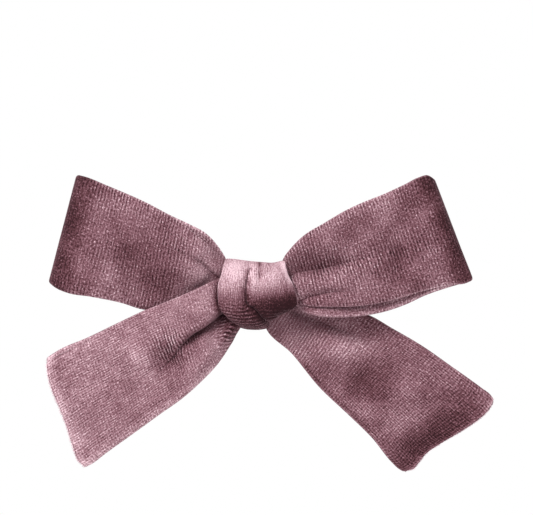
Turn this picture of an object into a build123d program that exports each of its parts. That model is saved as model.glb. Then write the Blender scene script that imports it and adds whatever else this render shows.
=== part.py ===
"""Velvet bow barrette: a soft bow bound to a metal squeeze-latch hair clip.

Row frame: X runs along the clip, +Z is up as the bow is worn, and the bow faces -Y. The origin
is the middle of the hair gap, between the base bar and the tension leaf. Millimetres.

The clip: an arched base bar, with a clasp arm and a tension leaf that both turn on one hinge pin,
and a two-pronged latch spring riveted to its other end. The prongs stand through a window in the
arm and hold it with outward hooks. Squeezed together, they let the arm swing open.

The bow: four spans of doubled velvet, two loops and two tails, gathered at the waist by turns of
thread. A velvet band is knotted round the waist and round the base bar, over a felt pad.
"""

import os
from math import cos, radians, sin

from build123d import *

# Clip, edge view: x along the bar, y through it
BAR_THICK = 0.8
BAR_WIDTH = 6.4
BAR_LEFT, BAR_RIGHT = -30.5, 32.0
ARCH_HALF = 21.0
ARCH_MID_Y = -3.2  # the bar's back face at the middle of the arch
FLAT_Y = 0.3  # the bar's back face at its two flat ends
SHEET = 0.8  # stamped steel of the hinge lugs and the arm's ears

# Hinge
PIN_X, PIN_Y, PIN_R = 30.0, 5.2, 0.6
RUNNING = 0.05  # radial clearance round the pin
PIN_HEAD_R, PIN_HEAD = 1.05, 0.45
LUG_R, EAR_R = 1.9, 1.6
SIDE_GAP = 0.1

# Clasp arm
ARM_WIDTH = 2 * (BAR_WIDTH / 2 - SHEET - SIDE_GAP)
ARM_LEFT = -32.0
ARM_MID_Y, ARM_END_Y = 6.0, 7.0  # the arm's front face
HEAD_WIDTH, HEAD_RIGHT = BAR_WIDTH, -22.5
WINDOW_LENGTH, WINDOW_WIDTH = 4.6, 4.4

# Tension leaf
LEAF_THICK, LEAF_WIDTH = 0.4, 2.8
LEAF_END = -21.5
LEAF_MID_Y, LEAF_END_Y = 3.2, 4.0  # the leaf's front face

# Latch
LATCH_X, PRONG_LENGTH = -27.5, 3.6
SPRING_THICK = 0.7
PRONG_Z = 1.5  # the prong's mid-thickness and its bending line
PRONG_ROOT_Y = 1.4
HOOK_Y, HOOK_Z, PRONG_TIP_Y = 8.0, 2.55, 12.0
RIVET_X, RIVET_R, RIVET_HEAD_R, RIVET_HEAD = -23.5, 0.8, 1.4, 0.4

# Felt pad and its stitches
FELT_THICK, FELT_HALF = 1.0, 19.5
STITCH_X, STITCH_Z, STITCH_R, STITCH_HOLE_R = 16.5, 1.7, 0.25, 0.45

# Bow. A span's depth is how far it stands in front of the origin, towards -Y
WALL = 1.5  # doubled velvet
WAIST_BACK, WAIST_FRONT, WAIST_Z = 5.6, 12.4, 6.0
WAIST_GAP = 0.1
ROOT, MOUTH, HOLLOW_FROM = -8.0, 9.0, 13.0
LEFT_SPLIT_Z, RIGHT_SPLIT_Z, SPLIT_GAP = 2.5, -2.7, 0.1
LEFT_CREASE, RIGHT_CREASE, CREASE_TAPER = 50.1, 51.1, 0.8
TAIL_THICK, TAIL_REACH = 2.2, 66.0
MOUTH_R, BULGE_R, TAIL_MOUTH_R, THIN_R = 20.0, 90.0, 12.0, 40.0  # the bends of a span's edge view
REACH = 80.0  # past the end of every span
LEFT_LOOP_TILT, RIGHT_LOOP_TILT = 14.6, 19.7
LEFT_TAIL_TILT, RIGHT_TAIL_TILT = -34.0, -38.0
BAND_BACK, BAND_FRONT, BAND_WALL = 1.1, 15.0, 1.3
BAND_BACK_Z, BAND_Z = 5.2, 8.7
BAND_STEP = (2.6, 3.9)  # the depths between which it widens
THREAD_R, THREAD_TURNS, THREAD_PITCH = 0.22, 5, 1.1
THREAD_STAND, THREAD_CORNER = 0.24, 0.28  # its middle line, off the waist and at the corners

os.makedirs("parts", exist_ok=True)


def arch_edge(shift=0.0):
    """One long edge of the base bar's edge view, from left to right, moved along Y by shift."""
    flat, mid = FLAT_Y + shift, ARCH_MID_Y + shift
    Line((BAR_LEFT, flat), (-ARCH_HALF, flat))
    ThreePointArc((-ARCH_HALF, flat), (0, mid), (ARCH_HALF, flat))
    Line((ARCH_HALF, flat), (BAR_RIGHT, flat))


def arch_y(x):
    """The Y of the base bar's back face on the arch, at x."""
    rise = FLAT_Y - ARCH_MID_Y
    radius = (ARCH_HALF**2 + rise**2) / (2 * rise)
    return ARCH_MID_Y + radius - (radius**2 - x**2) ** 0.5


def hinge_plate(radius, hole, low, high, joins_y):
    """A plate that stands round the hinge pin and runs to joins_y, from z low to z high."""
    with BuildSketch(Plane.XY.offset(low)) as plate:
        with Locations((PIN_X, PIN_Y)):
            Circle(radius)
        with Locations((PIN_X, (PIN_Y + joins_y) / 2)):
            Rectangle(2 * radius, abs(PIN_Y - joins_y))
        with Locations((PIN_X, PIN_Y)):
            Circle(hole, mode=Mode.SUBTRACT)
    extrude(plate.sketch, amount=high - low)


def save(part, label):
    part.label = label
    export_step(part, f"parts/{label}.step")


# ---- Clip ----

with BuildPart() as base_bar:
    with BuildSketch(Plane.XY.offset(-BAR_WIDTH / 2)):
        with BuildLine():
            arch_edge()
            arch_edge(-BAR_THICK)
            for x in (BAR_LEFT, BAR_RIGHT):
                Line((x, FLAT_Y), (x, FLAT_Y - BAR_THICK))
        make_face()
    extrude(amount=BAR_WIDTH)
    with BuildSketch(Plane.XZ):
        with Locations(((BAR_LEFT + BAR_RIGHT) / 2, 0)):
            RectangleRounded(BAR_RIGHT - BAR_LEFT, BAR_WIDTH, 1.6)
    extrude(amount=REACH, both=True, mode=Mode.INTERSECT)
    lug_inner = BAR_WIDTH / 2 - SHEET
    hinge_plate(LUG_R, PIN_R, lug_inner, BAR_WIDTH / 2, FLAT_Y - BAR_THICK / 2)
    hinge_plate(LUG_R, PIN_R, -BAR_WIDTH / 2, -lug_inner, FLAT_Y - BAR_THICK / 2)
    with BuildSketch(Plane.XZ):
        with Locations(*[(x, z) for x in (-STITCH_X, STITCH_X) for z in (-STITCH_Z, STITCH_Z)]):
            Circle(STITCH_HOLE_R)
        with Locations((RIVET_X, 0)):
            Circle(RIVET_R)
    extrude(amount=REACH, both=True, mode=Mode.SUBTRACT)
save(base_bar.part, "base_bar")

with BuildPart() as hinge_pin:
    with BuildSketch(Plane.XY.offset(-BAR_WIDTH / 2)):
        with Locations((PIN_X, PIN_Y)):
            Circle(PIN_R)
    extrude(amount=BAR_WIDTH)
    for face_z, way in ((-BAR_WIDTH / 2, -1), (BAR_WIDTH / 2, 1)):
        with BuildSketch(Plane.XY.offset(face_z)):
            with Locations((PIN_X, PIN_Y)):
                Circle(PIN_HEAD_R)
        extrude(amount=way * PIN_HEAD)
    heads = hinge_pin.edges().filter_by(GeomType.CIRCLE).sort_by(Axis.Z)
    chamfer([heads[0], heads[-1]], length=PIN_HEAD / 2)
save(hinge_pin.part, "hinge_pin")

with BuildPart() as clasp_arm:
    with BuildSketch(Plane.XY.offset(-HEAD_WIDTH / 2)):
        with BuildLine():
            arm_middle = (ARM_LEFT + PIN_X + EAR_R) / 2
            for shift in (0, SHEET):
                ThreePointArc(
                    (ARM_LEFT, ARM_END_Y + shift),
                    (arm_middle, ARM_MID_Y + shift),
                    (PIN_X + EAR_R, ARM_END_Y + shift),
                )
            for x in (ARM_LEFT, PIN_X + EAR_R):
                Line((x, ARM_END_Y), (x, ARM_END_Y + SHEET))
        make_face()
    extrude(amount=HEAD_WIDTH)
    with BuildSketch(Plane.XZ):
        with Locations(((ARM_LEFT + PIN_X + EAR_R) / 2, 0)):
            RectangleRounded(PIN_X + EAR_R - ARM_LEFT, ARM_WIDTH, 1.0)
        with Locations(((ARM_LEFT + HEAD_RIGHT) / 2, 0)):
            RectangleRounded(HEAD_RIGHT - ARM_LEFT, HEAD_WIDTH, 2.6)
        with Locations((LATCH_X, 0)):
            RectangleRounded(WINDOW_LENGTH, WINDOW_WIDTH, 0.5, mode=Mode.SUBTRACT)
    extrude(amount=REACH, both=True, mode=Mode.INTERSECT)
    ear_inner = ARM_WIDTH / 2 - SHEET
    hinge_plate(EAR_R, PIN_R + RUNNING, ear_inner, ARM_WIDTH / 2, ARM_END_Y + SHEET / 2)
    hinge_plate(EAR_R, PIN_R + RUNNING, -ARM_WIDTH / 2, -ear_inner, ARM_END_Y + SHEET / 2)
save(clasp_arm.part, "clasp_arm")

with BuildPart() as tension_leaf:
    eye_r = PIN_R + RUNNING + LEAF_THICK
    with BuildSketch(Plane.XY.offset(-LEAF_WIDTH / 2)):
        with BuildLine():
            for shift in (0, LEAF_THICK):
                ThreePointArc(
                    (PIN_X, PIN_Y - eye_r + shift),
                    ((PIN_X + LEAF_END) / 2, LEAF_MID_Y + shift),
                    (LEAF_END, LEAF_END_Y + shift),
                )
            Line((LEAF_END, LEAF_END_Y), (LEAF_END, LEAF_END_Y + LEAF_THICK))
            Line((PIN_X, PIN_Y - eye_r), (PIN_X, PIN_Y - eye_r + LEAF_THICK))
        make_face()
        with Locations((PIN_X, PIN_Y)):
            Circle(eye_r)
            Circle(PIN_R + RUNNING, mode=Mode.SUBTRACT)
    extrude(amount=LEAF_WIDTH)
    with BuildSketch(Plane.XZ):
        with Locations(((PIN_X + eye_r + LEAF_END) / 2, 0)):
            RectangleRounded(PIN_X + eye_r - LEAF_END, LEAF_WIDTH, 0.5)
    extrude(amount=REACH, both=True, mode=Mode.INTERSECT)
save(tension_leaf.part, "tension_leaf")

# ---- Latch ----

with BuildPart() as latch_base:
    plate_left, plate_right = LATCH_X - PRONG_LENGTH / 2, RIVET_X + RIVET_HEAD_R + 0.6
    with BuildSketch(Plane.XZ.offset(-FLAT_Y)):
        with Locations(((plate_left + plate_right) / 2, 0)):
            RectangleRounded(plate_right - plate_left, 2 * PRONG_Z + SPRING_THICK, 0.8)
        with Locations((RIVET_X, 0)):
            Circle(RIVET_R, mode=Mode.SUBTRACT)
    extrude(amount=-SPRING_THICK)
save(latch_base.part, "latch_base")

with BuildPart() as latch_rivet:
    front_y = FLAT_Y - BAR_THICK
    with BuildSketch(Plane.XZ.offset(-front_y)):
        with Locations((RIVET_X, 0)):
            Circle(RIVET_R)
    extrude(amount=-(BAR_THICK + SPRING_THICK))
    with BuildSketch(Plane.XZ.offset(-front_y)):
        with Locations((RIVET_X, 0)):
            Circle(RIVET_HEAD_R)
    extrude(amount=RIVET_HEAD)
    with BuildSketch(Plane.XZ.offset(-(FLAT_Y + SPRING_THICK))):
        with Locations((RIVET_X, 0)):
            Circle(RIVET_HEAD_R)
    extrude(amount=-RIVET_HEAD)
    rims = latch_rivet.edges().filter_by(GeomType.CIRCLE).sort_by(Axis.Y)
    fillet([rims[0], rims[-1]], radius=RIVET_HEAD / 2)
save(latch_rivet.part, "latch_rivet")


def latch_prong(side):
    """A prong, in its edge view along X: a shank with a round root, and a hook that cams the arm on."""
    half = SPRING_THICK / 2
    outer, inner = PRONG_Z + half, PRONG_Z - half
    with BuildPart() as prong:
        with BuildSketch(Plane.YZ.offset(LATCH_X - PRONG_LENGTH / 2)):
            with BuildLine():
                Polyline(
                    (PRONG_ROOT_Y, side * outer),
                    (HOOK_Y, side * outer),
                    (HOOK_Y, side * HOOK_Z),
                    (HOOK_Y + 0.7, side * HOOK_Z),
                    (PRONG_TIP_Y, side * outer),
                    (PRONG_TIP_Y, side * inner),
                    (PRONG_ROOT_Y, side * inner),
                )
                ThreePointArc(
                    (PRONG_ROOT_Y, side * inner),
                    (PRONG_ROOT_Y - half, side * PRONG_Z),
                    (PRONG_ROOT_Y, side * outer),
                )
            make_face()
        extrude(amount=PRONG_LENGTH)
        tip = prong.edges().filter_by(Axis.X).group_by(Axis.Y)[-1]
        fillet(tip, radius=0.25)
    return prong.part


for side, where in ((1, "top"), (-1, "bottom")):
    save(latch_prong(side), f"latch_prong_{where}")

# ---- Felt pad, and the thread that holds it to the bar ----

with BuildPart() as felt_pad:
    front, back = -BAR_THICK - FELT_THICK, -BAR_THICK
    with BuildSketch(Plane.XY.offset(-BAR_WIDTH / 2)):
        with BuildLine():
            for shift in (front, back):
                ThreePointArc(
                    (-FELT_HALF, arch_y(FELT_HALF) + shift),
                    (0, ARCH_MID_Y + shift),
                    (FELT_HALF, arch_y(FELT_HALF) + shift),
                )
            for x in (-FELT_HALF, FELT_HALF):
                Line((x, arch_y(FELT_HALF) + front), (x, arch_y(FELT_HALF) + back))
        make_face()
    extrude(amount=BAR_WIDTH)
    with BuildSketch(Plane.XZ):
        RectangleRounded(2 * FELT_HALF, BAR_WIDTH, 2.0)
    extrude(amount=REACH, both=True, mode=Mode.INTERSECT)
    with BuildSketch(Plane.XZ):
        with Locations(*[(x, z) for x in (-STITCH_X, STITCH_X) for z in (-STITCH_Z, STITCH_Z)]):
            Circle(STITCH_HOLE_R)
    extrude(amount=REACH, both=True, mode=Mode.SUBTRACT)
save(felt_pad.part, "felt_pad")


def thread_turn(plane, centre, across, up, corner, radius):
    """A closed turn of thread along a rounded rectangle, drawn on a plane."""
    with BuildPart() as turn:
        with BuildSketch(plane, mode=Mode.PRIVATE) as outline:
            with Locations(centre):
                RectangleRounded(across, up, corner)
        path = outline.sketch.faces()[0].outer_wire()
        with BuildSketch(Plane(path @ 0, z_dir=path % 0)):
            Circle(radius)
        sweep(path=path)
    return turn.part


stitch_front = arch_y(STITCH_X) - BAR_THICK - FELT_THICK - STITCH_R - 0.2
stitch_back = arch_y(STITCH_X) + STITCH_R + 0.2
stitches = [
    thread_turn(
        Plane.YZ.offset(x),
        ((stitch_front + stitch_back) / 2, 0),
        stitch_back - stitch_front,
        2 * STITCH_Z,
        0.3,
        STITCH_R,
    )
    for x in (-STITCH_X, STITCH_X)
]
save(Compound(children=stitches), "felt_stitches")

# ---- Bow ----


def span_plane(side, tilt):
    """A span's own plane: x runs out along it from the waist, and y is its depth, towards -Y."""
    out = Vector(side * cos(radians(tilt)), 0, sin(radians(tilt)))
    return Plane(origin=(0, 0, 0), x_dir=out, z_dir=out.cross(Vector(0, -1, 0)))


def front_shape(side, edges):
    """A span's outline from the front. Its edges run end to end, straight or smooth."""
    with BuildSketch(Plane.XZ) as shape:
        with BuildLine():
            for points in edges:
                mirrored = [(side * x, z) for x, z in points]
                if len(points) == 2:
                    Line(*mirrored)
                else:
                    Spline(*mirrored)
        make_face()
    return shape.sketch


def loop_span(side, tilt, crease, back, front, edges):
    """A hollow loop: a gathered root, then a front and a back wall that meet in the outer crease."""
    bulge = 0.55 * crease
    crease_r = 0.4 * (front - back)
    with BuildPart() as span:
        with BuildSketch(span_plane(side, tilt)):
            with BuildLine():
                FilletPolyline(
                    (ROOT, WAIST_BACK),
                    (MOUTH, WAIST_BACK),
                    (bulge, back),
                    (crease, back + CREASE_TAPER),
                    (crease, front - CREASE_TAPER),
                    (bulge, front),
                    (MOUTH, WAIST_FRONT),
                    (ROOT, WAIST_FRONT),
                    radius=[0, MOUTH_R, BULGE_R, crease_r, crease_r, BULGE_R, MOUTH_R, 0],
                    close=True,
                )
            outer = make_face()
            hollow = offset(outer, amount=-WALL, mode=Mode.PRIVATE)
            with Locations((HOLLOW_FROM + REACH / 2, (back + front) / 2)):
                beyond = Rectangle(REACH, REACH, mode=Mode.PRIVATE)
            add(hollow.intersect(beyond), mode=Mode.SUBTRACT)
        extrude(amount=REACH, both=True)
        extrude(front_shape(side, edges), amount=REACH, both=True, mode=Mode.INTERSECT)
    return span.part


def tail_span(side, tilt, middle, thin, end, edges):
    """A tail: a gathered root that thins, by the place given as thin, to two layers of velvet."""
    with BuildPart() as span:
        with BuildSketch(span_plane(side, tilt)):
            with BuildLine():
                FilletPolyline(
                    (ROOT, WAIST_BACK),
                    (MOUTH, WAIST_BACK),
                    (thin, middle - TAIL_THICK / 2),
                    (TAIL_REACH, end - TAIL_THICK / 2),
                    (TAIL_REACH, end + TAIL_THICK / 2),
                    (thin, middle + TAIL_THICK / 2),
                    (MOUTH, WAIST_FRONT),
                    (ROOT, WAIST_FRONT),
                    radius=[0, TAIL_MOUTH_R, THIN_R, 0, 0, THIN_R, TAIL_MOUTH_R, 0],
                    close=True,
                )
            make_face()
        extrude(amount=REACH, both=True)
        extrude(front_shape(side, edges), amount=REACH, both=True, mode=Mode.INTERSECT)
    return span.part


save(
    loop_span(
        side=-1,
        tilt=LEFT_LOOP_TILT,
        crease=LEFT_CREASE,
        back=5.2,
        front=14.6,
        edges=[
            [(WAIST_GAP, LEFT_SPLIT_Z + SPLIT_GAP), (WAIST_GAP, WAIST_Z)],
            [(WAIST_GAP, WAIST_Z), (9.2, WAIST_Z)],
            [(9.2, WAIST_Z), (11.3, 12.7), (15.8, 16.1), (25.6, 21.7), (44.1, 29.3)],
            [(44.1, 29.3), (50.9, 3.2)],
            [(50.9, 3.2), (50.2, 1.7), (47.5, 0.6)],
            [(47.5, 0.6), (36.0, -1.6), (23.0, -2.4)],
            [(23.0, -2.4), (10.2, 3.4)],
            [(10.2, 3.4), (9.0, LEFT_SPLIT_Z + SPLIT_GAP)],
            [(9.0, LEFT_SPLIT_Z + SPLIT_GAP), (WAIST_GAP, LEFT_SPLIT_Z + SPLIT_GAP)],
        ],
    ),
    "left_loop",
)

save(
    loop_span(
        side=1,
        tilt=RIGHT_LOOP_TILT,
        crease=RIGHT_CREASE,
        back=5.8,
        front=15.0,
        edges=[
            [(WAIST_GAP, RIGHT_SPLIT_Z + SPLIT_GAP), (WAIST_GAP, WAIST_Z)],
            [(WAIST_GAP, WAIST_Z), (8.4, WAIST_Z)],
            [(8.4, WAIST_Z), (11.3, 14.5), (18.2, 18.7), (29.4, 24.0), (41.5, 29.3)],
            [(41.5, 29.3), (44.5, 27.4)],
            [(44.5, 27.4), (52.8, 4.0)],
            [(52.8, 4.0), (46.5, 1.4), (36.8, -1.9), (27.8, -5.2)],
            [(27.8, -5.2), (20.2, -5.6), (12.6, -4.3), (9.0, RIGHT_SPLIT_Z + SPLIT_GAP)],
            [(9.0, RIGHT_SPLIT_Z + SPLIT_GAP), (WAIST_GAP, RIGHT_SPLIT_Z + SPLIT_GAP)],
        ],
    ),
    "right_loop",
)

save(
    tail_span(
        side=-1,
        tilt=LEFT_TAIL_TILT,
        middle=10.2,
        thin=28.0,
        end=7.8,
        edges=[
            [(WAIST_GAP, -WAIST_Z), (WAIST_GAP, LEFT_SPLIT_Z - SPLIT_GAP)],
            [(WAIST_GAP, LEFT_SPLIT_Z - SPLIT_GAP), (9.2, LEFT_SPLIT_Z - SPLIT_GAP)],
            [(9.2, LEFT_SPLIT_Z - SPLIT_GAP), (10.2, 3.1)],
            [(10.2, 3.1), (23.4, -2.8), (36.9, -8.4), (49.0, -13.9)],
            [(49.0, -13.9), (51.6, -16.0)],
            [(51.6, -16.0), (50.6, -25.3), (47.6, -30.2), (45.2, -38.1), (43.1, -42.8)],
            [(43.1, -42.8), (39.0, -40.9)],
            [(39.0, -40.9), (29.3, -33.6), (18.9, -26.3), (12.0, -19.8), (7.2, -12.8), (5.6, -WAIST_Z)],
            [(5.6, -WAIST_Z), (WAIST_GAP, -WAIST_Z)],
        ],
    ),
    "left_tail",
)

save(
    tail_span(
        side=1,
        tilt=RIGHT_TAIL_TILT,
        middle=6.4,
        thin=20.0,
        end=7.2,
        edges=[
            [(WAIST_GAP, -WAIST_Z), (WAIST_GAP, RIGHT_SPLIT_Z - SPLIT_GAP)],
            [(WAIST_GAP, RIGHT_SPLIT_Z - SPLIT_GAP), (9.0, RIGHT_SPLIT_Z - SPLIT_GAP)],
            [(9.0, RIGHT_SPLIT_Z - SPLIT_GAP), (12.6, -4.8), (20.2, -6.1), (27.8, -6.0)],
            [(27.8, -6.0), (40.0, -12.5), (49.9, -19.6), (58.5, -25.5)],
            [(58.5, -25.5), (55.8, -29.8), (49.9, -34.9), (42.4, -40.0), (39.3, -43.2)],
            [(39.3, -43.2), (37.3, -43.9), (34.9, -43.2)],
            [(34.9, -43.2), (24.3, -30.6), (16.1, -23.5), (9.8, -16.0), (4.6, -WAIST_Z)],
            [(4.6, -WAIST_Z), (WAIST_GAP, -WAIST_Z)],
        ],
    ),
    "right_tail",
)

turns = [
    thread_turn(
        Plane.YZ.offset(THREAD_PITCH * (turn - (THREAD_TURNS - 1) / 2)),
        (-(WAIST_BACK + WAIST_FRONT) / 2, 0),
        WAIST_FRONT - WAIST_BACK + 2 * THREAD_STAND,
        2 * (WAIST_Z + THREAD_STAND),
        THREAD_CORNER,
        THREAD_R,
    )
    for turn in range(THREAD_TURNS)
]
save(Compound(children=turns), "gather_thread")

with BuildPart() as knot_band:
    with BuildSketch(Plane.YZ):
        with BuildLine():
            FilletPolyline(
                (-BAND_BACK, -BAND_BACK_Z),
                (-BAND_STEP[0], -BAND_BACK_Z),
                (-BAND_STEP[1], -BAND_Z),
                (-BAND_FRONT, -BAND_Z),
                (-BAND_FRONT, BAND_Z),
                (-BAND_STEP[1], BAND_Z),
                (-BAND_STEP[0], BAND_BACK_Z),
                (-BAND_BACK, BAND_BACK_Z),
                radius=[1.5, 0.8, 0.8, 4.5, 4.5, 0.8, 0.8, 1.5],
                close=True,
            )
        ring = make_face()
        offset(ring, amount=-BAND_WALL, mode=Mode.SUBTRACT)
    extrude(amount=REACH, both=True)
    outline = front_shape(
        1,
        [
            [(-7.6, 8.7), (0.0, 8.1), (6.8, 8.1)],
            [(6.8, 8.1), (8.6, 5.8), (9.8, 1.0), (9.8, -2.5)],
            [(9.8, -2.5), (6.8, -5.4), (2.6, -8.1)],
            [(2.6, -8.1), (-0.8, -8.7)],
            [(-0.8, -8.7), (-5.2, -6.9), (-9.0, -2.6), (-9.8, 3.7), (-7.6, 8.7)],
        ],
    )
    extrude(outline, amount=REACH, both=True, mode=Mode.INTERSECT)
save(knot_band.part, "knot_band")
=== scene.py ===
"""Velvet bow barrette: the looks. Lengths in the tables and helpers are millimetres in the row frame.

The CAD clip stays as it is and gets its metal finishes. The bow, the felt pad and the threads are
modelled here as cloth: each strip of velvet is a closed surface round a middle surface, which is
laid out between its two edges as seen from the front, with a depth that holds its folds.
"""

import math

import bmesh
import bpy
import numpy as np
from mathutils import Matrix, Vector


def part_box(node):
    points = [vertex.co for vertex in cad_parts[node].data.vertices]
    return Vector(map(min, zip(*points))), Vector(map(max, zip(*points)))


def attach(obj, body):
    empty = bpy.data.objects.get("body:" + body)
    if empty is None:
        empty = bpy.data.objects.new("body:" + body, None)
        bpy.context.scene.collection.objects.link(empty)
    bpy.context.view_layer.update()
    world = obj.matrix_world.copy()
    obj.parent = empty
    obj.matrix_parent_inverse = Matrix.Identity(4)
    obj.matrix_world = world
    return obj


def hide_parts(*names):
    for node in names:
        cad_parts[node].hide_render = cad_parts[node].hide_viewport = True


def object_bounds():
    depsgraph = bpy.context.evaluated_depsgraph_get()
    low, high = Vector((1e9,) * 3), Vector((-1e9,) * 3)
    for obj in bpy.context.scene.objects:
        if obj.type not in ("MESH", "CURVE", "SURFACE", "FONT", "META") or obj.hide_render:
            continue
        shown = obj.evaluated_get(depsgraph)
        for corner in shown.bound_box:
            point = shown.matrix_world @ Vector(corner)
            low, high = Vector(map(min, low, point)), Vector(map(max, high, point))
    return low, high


MM = 0.001

# Picture
VIEW_WIDTH = 131.4  # of the whole picture, at the bow
VIEW_CENTRE = (2.34, 9.0)
CAMERA_DISTANCE = 950.0
BOW_Y = -10.0
SENSOR = 36.0

# Velvet
STRIP_WIDTH = 27.5
HALF_THICK = 0.72
BAND_HALF_THICK = 0.62
EDGE_ROUND = 0.9  # how far in from a long edge a strip is rounded
EDGE_PLACES = (0, 0.05, 0.17, 0.36, 0.6, EDGE_ROUND)
RIB_PITCH = 0.82
WALE_PITCH = 0.58
SLOT_DEPTH = 1.3  # of the gap between a tail's two layers at its cut end
SLOT_CORNER = 1.5  # from each end of that gap, where it gets shallower
# painted shade in the gap between a tail's two layers at its cut end
SLOT_PAINTED_SHADE = 0.25
BACK_GRAIN, SLOT_GRAIN = 50.0, 25.0  # shifts of the grain, so that no layer repeats the front's
SEED = 11

# Folds
PATH_POINTS = 150  # along each fold's path
FOLD_ROUND = 0.35  # of a fold's width, at its bottom
FOLD_FADE = 0.85  # how much of a fold has gone where its path ends

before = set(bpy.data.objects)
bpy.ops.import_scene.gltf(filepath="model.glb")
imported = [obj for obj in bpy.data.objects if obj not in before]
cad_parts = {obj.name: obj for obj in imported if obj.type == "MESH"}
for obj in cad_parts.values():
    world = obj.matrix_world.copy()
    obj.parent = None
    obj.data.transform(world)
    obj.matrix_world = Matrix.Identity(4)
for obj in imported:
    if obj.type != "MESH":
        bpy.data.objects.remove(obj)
cad_low, cad_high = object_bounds()


# ---- Curves and fields ----


def run_lengths(points):
    """The length along a line of points, at each of them."""
    return np.concatenate(([0], np.cumsum(np.linalg.norm(np.diff(points, axis=0), axis=1))))


def hermite(t, step, start, start_slope, end, end_slope):
    """The cubic from start to end at t, 0 to 1, over a step with the given slopes."""
    return (
        (2 * t**3 - 3 * t**2 + 1) * start
        + (t**3 - 2 * t**2 + t) * step * start_slope
        + (3 * t**2 - 2 * t**3) * end
        + (t**3 - t**2) * step * end_slope
    )


def smooth_curve(points, shares):
    """Points at the given shares, 0 to 1, of the length of a smooth curve through points."""
    knots = np.array(points, float)
    at = run_lengths(knots)
    slopes = np.gradient(knots, at, axis=0)
    dense = np.linspace(0, at[-1], 40 * len(knots))
    k = np.clip(np.searchsorted(at, dense, side="right") - 1, 0, len(knots) - 2)
    step = (at[k + 1] - at[k])[:, None]
    t = ((dense - at[k]) / (at[k + 1] - at[k]))[:, None]
    curve = hermite(t, step, knots[k], slopes[k], knots[k + 1], slopes[k + 1])
    length = run_lengths(curve)
    length /= length[-1]
    return np.stack([np.interp(shares, length, curve[:, a]) for a in range(knots.shape[1])], -1)


def smooth_step(low, high, x):
    """0 at low and 1 at high, with a smooth rise between. low may be the larger of the two."""
    t = np.clip((x - low) / (high - low), 0, 1)
    return t * t * (3 - 2 * t)


def table_value(table, x):
    """A smooth value at x from a short table of (place, value)."""
    places, values = np.array(table, float).T
    k = np.clip(np.searchsorted(places, x, side="right") - 1, 0, len(places) - 2)
    step = places[k + 1] - places[k]
    t = np.clip((x - places[k]) / step, 0, 1)
    slopes = np.gradient(values, places)
    return hermite(t, step, values[k], slopes[k], values[k + 1], slopes[k + 1])


def ripple(grid, size, seed, waves=14):
    """A smooth random field over points, from about -1 to 1, whose bumps are about size across."""
    rng = np.random.default_rng(seed)
    total = np.zeros(grid.shape[:-1])
    for _ in range(waves):
        way = rng.normal(size=grid.shape[-1])
        way /= np.linalg.norm(way)
        wave = size * rng.uniform(0.7, 1.6) * 2
        total += np.sin(grid @ way * (2 * math.pi / wave) + rng.uniform(0, 2 * math.pi))
    return total / math.sqrt(waves)


def nearest(flat, path):
    """Each point's distance from a path, its side of it (+1 above), and how far along that is."""
    line = smooth_curve(path, np.linspace(0, 1, PATH_POINTS))
    gap = flat[..., None, :] - line
    distance = np.linalg.norm(gap, axis=-1)
    k = distance.argmin(-1)
    way = np.gradient(line, axis=0)[k]
    off = np.take_along_axis(gap, k[..., None, None], axis=-2)[..., 0, :]
    side = np.sign(way[..., 0] * off[..., 1] - way[..., 1] * off[..., 0])
    side *= np.sign(line[-1, 0] - line[0, 0])
    return distance.min(-1), side, k / (PATH_POINTS - 1)


def valley(flat, path, deep, above, below, late=0.55):
    """A fold: deep down along its path, fading from the share late of it on.

    above and below are the widths of its slopes on the two sides.
    """
    distance, side, along = nearest(flat, path)
    width = np.where(side > 0, above, below)
    slope = np.exp(FOLD_ROUND - np.sqrt((distance / width) ** 2 + FOLD_ROUND**2))
    return -deep * slope * (1 - FOLD_FADE * smooth_step(late, 1.01, along))


def patch(flat, centre, size, stretch=(1, 1)):
    """A soft round or stretched patch, 1 in its middle."""
    off = (flat - np.array(centre)) / (size * np.array(stretch))
    return np.exp(-(off**2).sum(-1))


# ---- Meshes ----


def new_object(name, verts, faces, material, smooth=True):
    """An object of closed pieces, from points in millimetres."""
    mesh = bpy.data.meshes.new(name)
    mesh.from_pydata([tuple(v) for v in np.asarray(verts) * MM], [], faces)
    mesh.validate()
    turned = bmesh.new()
    turned.from_mesh(mesh)
    bmesh.ops.recalc_face_normals(turned, faces=turned.faces)
    turned.to_mesh(mesh)
    turned.free()
    mesh.polygons.foreach_set("use_smooth", [smooth] * len(mesh.polygons))
    mesh.materials.append(material)
    piece = bpy.data.objects.new(name, mesh)
    bpy.context.scene.collection.objects.link(piece)
    return piece


def columns(count):
    """Places across a strip, -1 to 1, closer together at its two rounded edges."""
    edge = np.array(EDGE_PLACES) / (STRIP_WIDTH / 2)
    inner = np.linspace(-1 + edge[-1], 1 - edge[-1], count)[1:-1]
    return np.concatenate((edge - 1, inner, 1 - edge[::-1]))


def surface_normals(middle, closed=False):
    """The unit normals of a grid of points, whose rows may close into a ring."""
    if closed:
        along = np.roll(middle, -1, axis=0) - np.roll(middle, 1, axis=0)
    else:
        along = np.gradient(middle, axis=0)
    across = np.gradient(middle, axis=1)
    normal = np.cross(along, across)
    return normal / np.linalg.norm(normal, axis=-1, keepdims=True)


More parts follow.
